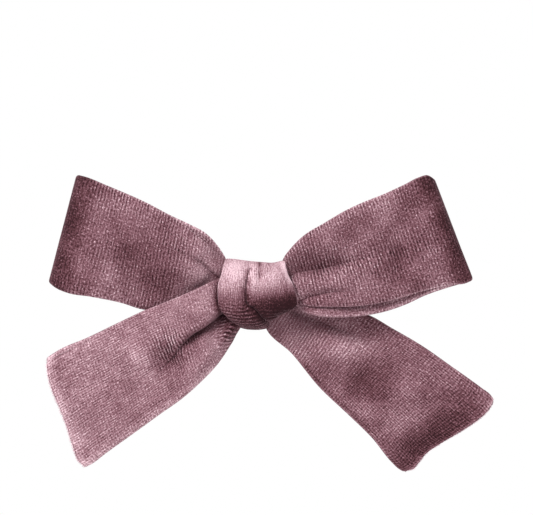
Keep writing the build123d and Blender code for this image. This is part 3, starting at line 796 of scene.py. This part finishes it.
def right_tail():
    """The right tail. A long shallow fold runs out from under the loop, above a ridge."""
    bottom = [(2.2, -5.7), (2.6, -8.4), (8.7, -14.8), (15.5, -23.2), (22.8, -30.1), (28.3, -35.5),
              (33.4, -41.7), (34.8, -43.0), (36.4, -43.4)]
    top = [(2.2, -3.4), (6.5, -3.6), (9.9, -3.0), (18, -3.6), (27.7, -5.3), (33.4, -8.5), (40.8, -12.8),
           (47.4, -17.4), (55.5, -23.2), (57.6, -24.8), (58.2, -25.6)]
    end_curve = [(-1, 0), (-0.94, 1.0), (-0.87, 1.4), (-0.75, 1.15), (-0.52, 0.5), (-0.24, 0.75), (0.2, 1.6),
                 (0.55, 2.0), (0.84, 1.6), (0.97, 0.6), (1, 0)]
    long_fold = [(8.5, -4.2), (13.8, -6.2), (21.2, -9.4), (27.7, -12.3), (33, -14.4)]
    edge_line = [(12.0, -17.6), (16.3, -22.5), (23.5, -29.4), (28.6, -34.6)]

    def depth_of(flat, share, side):
        depth = table_value([(0, 7.6), (0.1, 7.2), (0.2, 6.0), (0.4, 6.0), (0.7, 6.6), (1, 7.0)], share)
        depth -= 0.4 * np.abs(side) ** 8
        depth += valley(flat, long_fold, 1.9, 2.4, 1.8, 0.45)
        depth += 1.0 * patch(flat, (20.5, -12.8), 4, (1.9, 0.7)) * smooth_step(0.15, 0.3, share)
        depth -= 1.3 * patch(flat, (26.4, -21.5), 3.8, (1, 1.1))
        depth += 0.6 * patch(flat, (37, -22.5), 5)
        depth -= 1.6 * smooth_step(0.84, 1.0, share) * smooth_step(0.9, -0.4, side)
        depth += 0.2 * ripple(flat, 9, SEED + 9) * smooth_step(0.15, 0.35, share)
        depth += 0.6 * smooth_step(0.7, 1, share) * np.sin(2.8 * side - 0.4)
        return depth

    # The tone holds painted light: painted light near the knot, in the loop's shade; painted shade under the
    # loop, in its dip, beside its long fold and where its end curls back; a painted shade line by its lower
    # edge; painted highlights on its ridge, its bump and along its long edges.
    def painted_light_and_lines(flat, share, side):
        # paler near the knot: painted light where the loop shades the tail
        tone = 0.46 + 0.02 * ripple(flat, 6, SEED + 10) + 0.05 * smooth_step(0.30, 0.08, share)
        # painted shade in the dip, beside the long fold and under the loop
        tone -= 0.25 * patch(flat, (26.4, -21.5), 4.3, (1.2, 1.0)) + 0.08 * patch(flat, (32, -11.5), 4)
        tone -= 0.04 * patch(flat, (22, -9), 5, (1.8, 0.6))
        # painted highlights on the ridge and on the bump
        tone += 0.20 * patch(flat, (21.0, -13.2), 3.8, (2.7, 0.75)) + 0.03 * patch(flat, (37, -22), 5)
        # painted shade where the end curls back, less at the low tip, which is paler at the cut
        low_tip = smooth_step(-0.45, -0.95, side)
        tone -= 0.28 * smooth_step(0.82, 0.95, share) * smooth_step(1.0, 0.1, side) * (1 - 0.6 * low_tip)
        tone += 0.12 * smooth_step(0.96, 1.0, share) * low_tip
        # a painted shade line by the lower edge, and painted highlights along the long edges
        tone += valley(flat, edge_line, 0.16, 0.4, 0.5, 0.8)
        tone += 0.08 * smooth_step(0.93, 1.0, np.abs(side)) + 0.16 * smooth_step(0.975, 1.0, share)
        tone += 0.06 * smooth_step(0.94, 1.0, share) * smooth_step(0.5, 0.9, side)
        ribs = 0.65 + 0.2 * patch(flat, (20, -12), 6, (1.8, 0.8)) + 0.25 * patch(flat, (12, -12), 6)
        wales = 0.35 + 0.45 * smooth_step(0.4, 0.7, share)
        return pile_values(tone, ribs, wales)

    return tail_piece("velvet_right_tail", bottom, top, end_curve, depth_of, painted_light_and_lines)


# ---- Knot band ----

BAND_ROWS = 360
BAND_COLUMNS = 124
BAND_CENTRE = 8.2  # its depth, which the band goes round
BAND_HALF_RING = [(1.75, 0), (1.8, 2.6), (2.3, 4.1), (4.0, 6.8), (7.2, 8.05), (10.6, 8.0), (13.0, 6.3),
                  (14.2, 3.2), (14.35, 0)]  # depth and z, from behind the bar to the front
BAND_FRONT_LEFT = [(-8.9, -2.9), (-8.4, -4.0), (-7.2, -6.3), (-5.9, -7.7), (-4.4, -9.0), (-2, -9.5),
                   (0, -9.6), (2.9, -9.5), (5.3, -8.85), (7, -8.3), (8.8, -7.7)]  # x by z
BAND_FRONT_RIGHT = [(-8.9, 0.6), (-8.4, 1.8), (-7.2, 3.4), (-5.9, 5.6), (-4.5, 8.0), (-3.4, 9.6),
                    (-2, 9.8), (0, 9.5), (2.9, 8.8), (5.3, 7.9), (7, 7.3), (8.8, 6.9)]
MAIN_CREASE = [(-2.4, 0), (-2.0, -2.6), (-0.6, -3.4), (0.6, -4.8), (1.9, -6.3), (3.3, -7.2)]
SHORT_CREASE = [(2.8, 7.4), (2.9, 5.0)]


def band_edges(outline, shares):
    """X of the band's two edges at each row: pinched under the bar, and as laid out in front."""
    in_front = smooth_step(7.5, 10.5, outline[:, 0])
    pinched = smooth_step(0.5, 0.75, shares) * (1 - smooth_step(0.8, 0.95, shares))
    left = -7.6 + 3.4 * pinched
    right = 7.4 - 4.4 * pinched
    left += (table_value(BAND_FRONT_LEFT, outline[:, 1]) - left) * in_front
    right += (table_value(BAND_FRONT_RIGHT, outline[:, 1]) - right) * in_front
    return left[:, None], right[:, None]


def band_lift(x, depth, z, across, facing):
    """How far the band stands off its plain ring: creases and rolls in front, pleats behind."""
    flat = np.stack((x, z), -1)
    to_edge = np.abs(across)[None] ** 3
    lift = -1.5 * to_edge * facing * (1 - 0.6 * smooth_step(5.0, 8.0, z))
    lift += -0.4 * to_edge * (1 - facing)
    calm = 1 - 0.85 * smooth_step(6.2, 7.9, z)
    folds = valley(flat, [(-1.5, 6.4), (-2.0, 4.4), (-2.4, 2.4), *MAIN_CREASE], 2.8, 0.16, 0.5, 1.0)
    folds += valley(flat, [(0.6, 7.2), (0.75, 5.4), (0.6, 2.6)], 1.2, 0.24, 0.36, 0.5)
    folds += valley(flat, SHORT_CREASE, 0.5, 0.22, 0.3, 0.3)
    folds += valley(flat, [(6.9, 8.4), (7.3, 5.6), (8.2, 2.6)], 0.5, 0.3, 0.5, 0.7)
    folds += valley(flat, [(3.8, -1.0), (5.2, -3.4), (4.6, -6.4)], 0.4, 1.2, 1.2, 0.9)
    folds *= calm
    rolls = 0.55 * patch(flat, (-5.6, 1.5), 3.2, (0.9, 1.8)) + 0.55 * patch(flat, (4.6, 1.5), 3.2, (1, 1.7))
    rolls += 0.35 * patch(flat, (-0.7, 4.0), 0.9, (1, 3))
    dip = table_value([(-9, 0.6), (-7.3, 0.25), (-3, -0.55), (1, -0.95), (4.1, -1.05), (6.6, -0.25),
                       (9, 0.2)], x)
    lift = lift + (folds + rolls) * facing + smooth_step(5.0, 8.0, z) * dip
    lift += 0.06 * ripple(np.stack((x, depth, z), -1), 4, SEED + 11) * calm
    pleats = 0.35 * np.sin(across * 7.0 + 0.6)[None] * (1 - facing)
    return lift + pleats * smooth_step(0, 1.2, np.abs(z)) * smooth_step(7.6, 5.5, np.abs(z))


def band_painted_light(x, z, across, facing):
    """Painted light on the band: painted highlights high on its left and along its right lip, and painted
    shade low on its right, along its creases and lower down.
    """
    flat = np.stack((x, z), -1)
    # painted highlights high on the left, at the top right and on the ridge by the main crease; painted shade
    # beside the crease's top
    front = 0.27 * patch(flat, (-5.2, 5.2), 3.7) + 0.10 * patch(flat, (4.4, 4.8), 3.0)
    front += 0.10 * patch(flat, (-0.9, 4.6), 1.2, (1, 2.2)) - 0.36 * patch(flat, (-2.5, 4.2), 0.8, (0.8, 1.7))
    # painted shade low on the right and at the right; a painted highlight along the right lip
    front -= 0.42 * patch(flat, (6.2, -3.8), 4.4, (1.2, 0.9)) + 0.22 * patch(flat, (8.8, 0.4), 2.4, (1, 1.3))
    front += 0.48 * smooth_step(0.74, 0.90, across)[None] * patch(flat, (7.7, 4.6), 3.0)
    front += 0.05 * patch(flat, (-5.5, -6.5), 2.6) - 0.07 * patch(flat, (-1.2, -7.8), 2.2)
    # painted shade along the creases
    front += valley(flat, [(-2.2, 3.4), (-2.4, 2.0), *MAIN_CREASE], 1.0, 0.25, 0.45, 1.0)
    front += valley(flat, [(0.6, 7.2), (0.75, 5.6), (0.6, 3.2)], 0.62, 0.28, 0.36, 0.6)
    front += valley(flat, SHORT_CREASE, 0.2, 0.2, 0.2, 0.4)
    tone = 0.66 + 0.02 * ripple(flat, 3, SEED + 14) + front * facing
    # painted shade, darker towards the bottom; painted highlight along the edges higher up
    tone -= 0.50 * smooth_step(3.2, -5.5, z)
    tone += 0.24 * smooth_step(0.94, 1.0, np.abs(across))[None] * smooth_step(-4.0, 1.0, z)
    ribs = 0.1 + 1.25 * smooth_step(-1.0, -5.0, z)
    wales = 0.7 * smooth_step(-4.5, 0.5, z) + 0.1
    return pile_values(tone, ribs, wales)


def knot_band():
    """The band, a closed ring of velvet. Its rows start at its back, behind the clip's bar."""
    ring = BAND_HALF_RING + [(depth, -z) for depth, z in BAND_HALF_RING[-2::-1]]
    across = columns(BAND_COLUMNS)
    shares = np.linspace(0, 1, BAND_ROWS, endpoint=False)
    outline = smooth_curve(ring, shares)
    left, right = band_edges(outline, shares)
    part = (across + 1) / 2
    x = left * (1 - part) + right * part
    depth = np.repeat(outline[:, :1], len(across), axis=1)
    z = np.repeat(outline[:, 1:], len(across), axis=1)
    facing = smooth_step(7.5, 11.5, depth)
    lift = band_lift(x, depth, z, across, facing)
    away = outline - (BAND_CENTRE, 0)
    away /= np.linalg.norm(away, axis=-1, keepdims=True)
    depth += lift * away[:, :1]
    z += lift * away[:, 1:]
    middle = np.stack((x, -depth, z), -1)
    pile = band_painted_light(x, z, across, facing)
    return strip("velvet_knot_band", middle, across, run_lengths(outline), pile, BAND_HALF_THICK, True)


# ---- Loose pile at the cut ends ----

FIBRES_PER_MM = 60
FIBRE_SPREAD = 0.62  # each way from the middle of the cloth
FIBRE_ROOT = 0.15  # inside the cloth
FIBRE_LEAN = 0.33


def pile_fringe(name, middle, per_mm, longest, seed):
    """Short tapered fibres that stand out of a tail's cut end, each a closed spike."""
    rng = np.random.default_rng(seed)
    end = middle[-1]
    outward = middle[-1] - middle[-4]
    outward /= np.linalg.norm(outward, axis=-1, keepdims=True)
    normal = surface_normals(middle)[-1]
    lengths = run_lengths(end)
    verts, faces = [], []
    for _ in range(int(per_mm * lengths[-1])):
        at = rng.uniform(0.01, 0.99) * lengths[-1]
        base, way, thickness_way = (
            np.array([np.interp(at, lengths, values[:, a]) for a in range(3)])
            for values in (end, outward, normal)
        )
        base = base + thickness_way * rng.uniform(-FIBRE_SPREAD, FIBRE_SPREAD) - way * FIBRE_ROOT
        lean = way + rng.normal(scale=FIBRE_LEAN, size=3)
        lean /= np.linalg.norm(lean)
        long = rng.uniform(0.4, 1) * longest
        side = np.cross(lean, (0.3, 0.5, 0.8))
        side /= np.linalg.norm(side)
        other = np.cross(lean, side)
        thick = rng.uniform(0.03, 0.05)
        first = len(verts)
        for turn in (0, 2 * math.pi / 3, 4 * math.pi / 3):
            verts.append(base + thick * (side * math.cos(turn) + other * math.sin(turn)))
        verts.append(base + lean * long)
        a, b, c, tip = range(first, first + 4)
        faces += [(a, c, b), (a, b, tip), (b, c, tip), (c, a, tip)]
    return new_object(name, verts, faces, PILE, smooth=False)


# ---- Felt and threads ----


ARCH_HALF = 21.0  # half the length of the bar's arched part
ARCH_END = 0.3  # Y of the bar's back face there
BAR_THICK = 0.8
PAD_THICK = 1.0
PAD_CORNER = 2.6
PAD_ROUND = 0.45  # how far in from its rim the pad is rounded
pad_low, pad_high = (np.array(c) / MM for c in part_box("felt_pad"))
ARCH_MIDDLE = pad_low[1] + BAR_THICK + PAD_THICK

GATHER_PLACES = [1.1 * k for k in (-2, -1, 0, 1, 2)]
STITCH_PLACES = [-16.5, 16.5]
THREADS = (("gather_thread", 0.22, GATHER_PLACES), ("felt_stitches", 0.25, STITCH_PLACES))
THREAD_PLIES = 3
PLY_SIDES = 7
PLY_OFFSET, PLY_RADIUS = 0.5, 0.52  # of the thread's radius
TWIST_PITCH = 1.3
TURN_STEP = 0.12  # along a turn of thread


def bar_back_y(x):
    """The Y of the bar's back face at x, an arc whose height is taken from the frame's felt pad."""
    rise = ARCH_END - ARCH_MIDDLE
    radius = (ARCH_HALF**2 + rise**2) / (2 * rise)
    return ARCH_MIDDLE + radius - np.sqrt(radius**2 - x**2)


def felt_pad():
    """The pad, with soft rounded rims and a surface that is not quite even."""
    rows, cols = 160, 40
    across = np.linspace(-1, 1, cols)[None]
    half_length = pad_high[0]
    x = np.repeat(np.linspace(-1, 1, rows)[:, None] * half_length, cols, axis=1)
    into_corner = np.clip(np.abs(x) - (half_length - PAD_CORNER), 0, PAD_CORNER) / PAD_CORNER
    narrow = np.sqrt(np.clip(1 - into_corner**2, 0, 1))
    half_width = pad_high[2] - PAD_CORNER * (1 - narrow)
    z = across * half_width
    to_rim = np.minimum(half_width - np.abs(z), half_length - np.abs(x))
    plump = np.sqrt(1 - (1 - np.clip(to_rim / PAD_ROUND, 0, 1)) ** 2)
    uneven = 1 + 0.05 * ripple(np.stack((x, z), -1), 2.0, 5)
    middle_y = bar_back_y(x) - BAR_THICK - PAD_THICK / 2
    front = np.stack((x, middle_y - PAD_THICK / 2 * plump * uneven, z), -1).reshape(-1, 3)
    back = np.stack((x, middle_y + PAD_THICK / 2 * plump * 0.97, z), -1).reshape(-1, 3)
    ids = np.arange(rows * cols).reshape(rows, cols)
    faces = []
    for layer in (ids, ids + rows * cols):
        quads = np.stack((layer[:-1, :-1], layer[1:, :-1], layer[1:, 1:], layer[:-1, 1:]), -1)
        faces += quads.reshape(-1, 4).tolist()
    piece = new_object("felt_backing", np.concatenate((front, back)), faces, FELT)
    welded = bmesh.new()
    welded.from_mesh(piece.data)
    bmesh.ops.remove_doubles(welded, verts=welded.verts, dist=0.004 * MM)
    bmesh.ops.recalc_face_normals(welded, faces=welded.faces)
    welded.to_mesh(piece.data)
    welded.free()
    return piece


def ring_tube(line, first, second, radius, start):
    """Points and faces of a closed tube round a closed line, numbered from start."""
    verts, faces = [], []
    count = len(line)
    for k in range(count):
        ahead = (k + 1) % count
        for s in range(PLY_SIDES):
            angle = 2 * math.pi * s / PLY_SIDES
            verts.append(line[k] + radius * (first[k] * math.cos(angle) + second[k] * math.sin(angle)))
            corners = ((k, s), (k, (s + 1) % PLY_SIDES), (ahead, (s + 1) % PLY_SIDES), (ahead, s))
            faces.append([start + row * PLY_SIDES + side for row, side in corners])
    return verts, faces


def twisted_turns(name, loops, radius):
    """Closed turns of twisted thread. Each loop is a list of the corners of its rectangle."""
    verts, faces = [], []
    for corners in loops:
        path = np.array(corners + [corners[0]], float)
        along = run_lengths(path)
        length = along[-1]
        at = np.linspace(0, length, max(48, int(length / TURN_STEP)), endpoint=False)
        line = np.stack([np.interp(at, along, path[:, a]) for a in range(3)], -1)
        for _ in range(3):
            line = (np.roll(line, 1, 0) + 2 * line + np.roll(line, -1, 0)) / 4
        way = np.roll(line, -1, 0) - np.roll(line, 1, 0)
        way /= np.linalg.norm(way, axis=-1, keepdims=True)
        first = np.cross(way, (1.0, 0, 0))
        first /= np.linalg.norm(first, axis=-1, keepdims=True)
        second = np.cross(way, first)
        twists = max(1, round(length / TWIST_PITCH))
        for ply in range(THREAD_PLIES):
            turn = 2 * math.pi * (twists * at / length + ply / THREAD_PLIES)
            off = first * np.cos(turn)[:, None] + second * np.sin(turn)[:, None]
            centre = line + PLY_OFFSET * radius * off
            tube = ring_tube(centre, first, second, PLY_RADIUS * radius, len(verts))
            verts += tube[0]
            faces += tube[1]
    return new_object(name, verts, faces, THREAD)


def thread_loops(node, radius, places):
    """Closed turns at each x in places, which fill the height and depth of the frame's own thread."""
    low, high = (np.array(c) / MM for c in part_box(node))
    y_low, z_low = low[1:] + radius
    y_high, z_high = high[1:] - radius
    return [[(x, y_low, z_low), (x, y_high, z_low), (x, y_high, z_high), (x, y_low, z_high)] for x in places]


# ---- Put together ----

BODY = "base"
SOFT_EDGE = 0.09  # on the clip's pieces

for piece, node in ((left_loop(), "left_loop"), (right_loop(), "right_loop")):
    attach(piece, BODY)
    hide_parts(node)

for (piece, middle), node, long, longest, seed in (
    (left_tail(), "left_tail", 0.058, 1.0, 21),
    (right_tail(), "right_tail", 0.059, 0.6, 22),
):
    fringe = pile_fringe(f"{piece.name}_pile", middle, FIBRES_PER_MM, longest, seed)
    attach(piece, BODY)
    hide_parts(node)
    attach(fringe, BODY)

band = knot_band()
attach(band, BODY)
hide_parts("knot_band")

pad = felt_pad()
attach(pad, BODY)
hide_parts("felt_pad")

for node, radius, places in THREADS:
    piece = twisted_turns(f"twisted_{node}", thread_loops(node, radius, places), radius)
    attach(piece, BODY)
    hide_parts(node)

for node, material in (
    ("base_bar", BRIGHT_PLATE),
    ("clasp_arm", BRIGHT_PLATE),
    ("hinge_pin", BRIGHT_PLATE),
    ("latch_rivet", BRIGHT_PLATE),
    ("tension_leaf", SATIN_PLATE),
    ("latch_base", SATIN_PLATE),
    ("latch_prong_top", SATIN_PLATE),
    ("latch_prong_bottom", SATIN_PLATE),
):
    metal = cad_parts[node]
    for slot in metal.material_slots:
        slot.material = material
    soften = metal.modifiers.new("soft_edges", "BEVEL")
    soften.width = SOFT_EDGE * MM
    soften.segments = 2
    soften.limit_method = "ANGLE"
    soften.angle_limit = math.radians(40)

# ---- Stage, light and camera ----

FLOOR_RADIUS = 300.0
FLOOR_BELOW = 32.0


def stage_floor():
    """A pale round floor, some way below the bow's tails."""
    bpy.ops.mesh.primitive_circle_add(vertices=96, radius=FLOOR_RADIUS * MM, fill_type="NGON")
    floor = bpy.context.object
    floor.name = "floor"
    floor.location = (0, 0, cad_low[2] - FLOOR_BELOW * MM)
    material, _, shader = new_material("floor_white")
    shader.inputs["Base Color"].default_value = (0.9, 0.9, 0.9, 1)
    shader.inputs["Roughness"].default_value = 0.8
    floor.data.materials.append(material)


def area_light(name, place, size, power):
    """A white square light that faces the bow."""
    light = bpy.data.lights.new(name, "AREA")
    light.size = size
    light.energy = power
    lamp = bpy.data.objects.new(name, light)
    bpy.context.scene.collection.objects.link(lamp)
    lamp.location = place
    lamp.rotation_euler = (-Vector(place)).to_track_quat("-Z", "Y").to_euler()


def pale_world():
    """White to the camera. As light it is brighter from above than from below."""
    world = bpy.data.worlds.new("pale")
    world.use_nodes = True
    tree = world.node_tree
    sky = tree.nodes["Background"]
    way = tree.nodes.new("ShaderNodeTexCoord").outputs["Generated"]
    height = map_range(tree, parts_of(tree, way)[2], -1, 1)
    colour = colour_ramp(tree, height, ((0, (0.10, 0.10, 0.11)), (1, (0.62, 0.62, 0.62))))
    tree.links.new(colour, sky.inputs["Color"])
    white = tree.nodes.new("ShaderNodeBackground")
    white.inputs["Color"].default_value = (1, 1, 1, 1)
    mix = tree.nodes.new("ShaderNodeMixShader")
    tree.links.new(tree.nodes.new("ShaderNodeLightPath").outputs["Is Camera Ray"], mix.inputs[0])
    tree.links.new(sky.outputs[0], mix.inputs[1])
    tree.links.new(white.outputs[0], mix.inputs[2])
    tree.links.new(mix.outputs[0], tree.nodes["World Output"].inputs["Surface"])
    bpy.context.scene.world = world


def front_camera():
    """Straight in front of the bow, far enough off that it shows almost no perspective."""
    data = bpy.data.cameras.new("camera")
    data.sensor_width = SENSOR
    data.lens = SENSOR * (CAMERA_DISTANCE + BOW_Y) / VIEW_WIDTH
    camera = bpy.data.objects.new("camera", data)
    bpy.context.scene.collection.objects.link(camera)
    camera.location = (VIEW_CENTRE[0] * MM, -CAMERA_DISTANCE * MM, VIEW_CENTRE[1] * MM)
    camera.rotation_euler = (math.pi / 2, 0, 0)
    bpy.context.scene.camera = camera


stage_floor()
pale_world()
area_light("key", (-0.38, -0.50, 0.46), 0.34, 7.0)
area_light("fill", (0.50, -0.45, 0.10), 0.40, 1.6)
area_light("rim", (-0.10, 0.45, 0.55), 1.0, 2.0)
area_light("back_fill", (0.30, 0.60, 0.05), 1.0, 1.5)
front_camera()
bpy.context.scene.view_settings.view_transform = "Standard"
